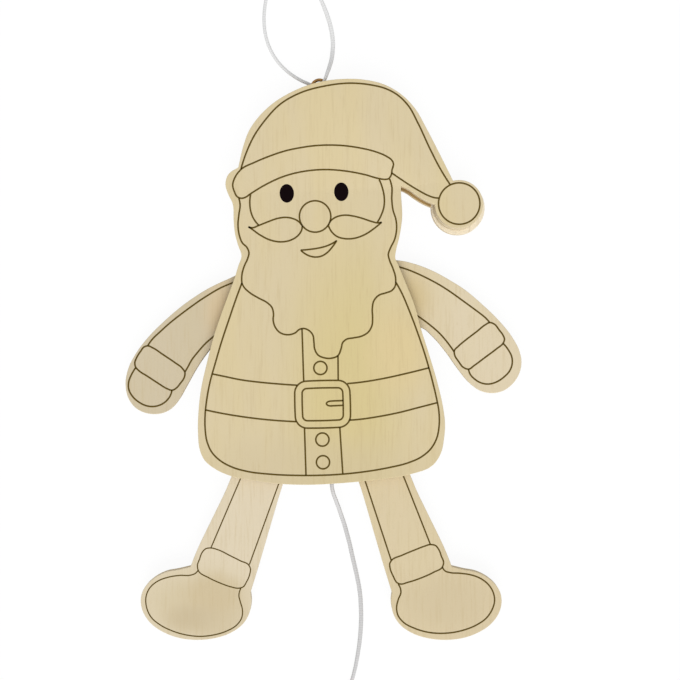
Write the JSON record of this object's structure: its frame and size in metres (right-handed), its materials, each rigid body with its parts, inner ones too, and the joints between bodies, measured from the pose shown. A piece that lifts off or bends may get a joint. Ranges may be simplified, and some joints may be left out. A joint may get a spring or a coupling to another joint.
{
  "type": "pull string jumping jack",
  "caption": "Flat plywood figure of a bearded man in cap and belted coat, lying on its back; pulling the cord below its hem swings its arms and legs up.",
  "frame": {"origin": "on the back plate's outer face, in the middle of the coat above the belt", "axes": "+X to the viewer's right, +Y towards the cap, +Z out of the front plate towards the viewer"},
  "size_m": [0.1797, 0.3626, 0.012],
  "materials": {
    "plywood": "bare sanded plywood",
    "dowel_wood": "bare turned beech",
    "washer_fibre": "pressed wood fibre",
    "cord": "white braided cord",
    "thread": "white cotton thread",
    "brass": "plated, bright"
  },
  "bodies": {
    "figure": {"front_plate": "plywood", "back_plate": "plywood", "cap_spacer": "plywood", "pompom_spacer": "plywood", "left_shoulder_dowel": "dowel_wood", "right_shoulder_dowel": "dowel_wood", "left_hip_dowel": "dowel_wood", "right_hip_dowel": "dowel_wood", "left_shoulder_back_washer": "washer_fibre", "right_shoulder_back_washer": "washer_fibre", "left_hip_back_washer": "washer_fibre", "right_hip_back_washer": "washer_fibre", "left_shoulder_front_washer": "washer_fibre", "right_shoulder_front_washer": "washer_fibre", "left_hip_front_washer": "washer_fibre", "right_hip_front_washer": "washer_fibre", "screw_eye": "brass", "hanging_cord": "cord", "hanging_knot": "cord"},
    "left_leg": {"left_leg": "plywood"},
    "right_leg": {"right_leg": "plywood"},
    "left_arm": {"left_arm": "plywood"},
    "right_arm": {"right_arm": "plywood"},
    "pull": {"pull_cord": "cord", "pull_tail": "cord", "pull_knot": "cord", "arm_string": "thread", "leg_string": "thread", "arm_tie_knot": "thread", "leg_tie_knot": "thread", "left_arm_string_knot": "thread", "right_arm_string_knot": "thread", "left_leg_string_knot": "thread", "right_leg_string_knot": "thread"}
  },
  "joints": [
    {"name": "left_hip", "type": "hinge", "parent": "figure", "child": "left_leg", "pos_m": [-0.0242, -0.048, 0.0059], "axis": [0, 0, -1], "range_deg": [0, 45]},
    {"name": "right_hip", "type": "hinge", "parent": "figure", "child": "right_leg", "pos_m": [0.0228, -0.048, 0.0059], "axis": [0, 0, 1], "range_deg": [0, 45]},
    {"name": "left_shoulder", "type": "hinge", "parent": "figure", "child": "left_arm", "pos_m": [-0.0317, 0.018, 0.0059], "axis": [0, 0, -1], "range_deg": [0, 45]},
    {"name": "right_shoulder", "type": "hinge", "parent": "figure", "child": "right_arm", "pos_m": [0.0303, 0.018, 0.0059], "axis": [0, 0, 1], "range_deg": [0, 45]},
    {"name": "pull_slide", "type": "slide", "parent": "figure", "child": "pull", "axis": [0, -1, 0], "range_m": [0, 0.00919]}
  ],
  "couplings": [
    {"joint": "right_hip", "follows": "left_hip", "ratio": 1},
    {"joint": "left_shoulder", "follows": "left_hip", "ratio": 1},
    {"joint": "right_shoulder", "follows": "left_hip", "ratio": 1},
    {"joint": "pull_slide", "follows": "left_hip", "m_per_rad": 0.011694}
  ]
}
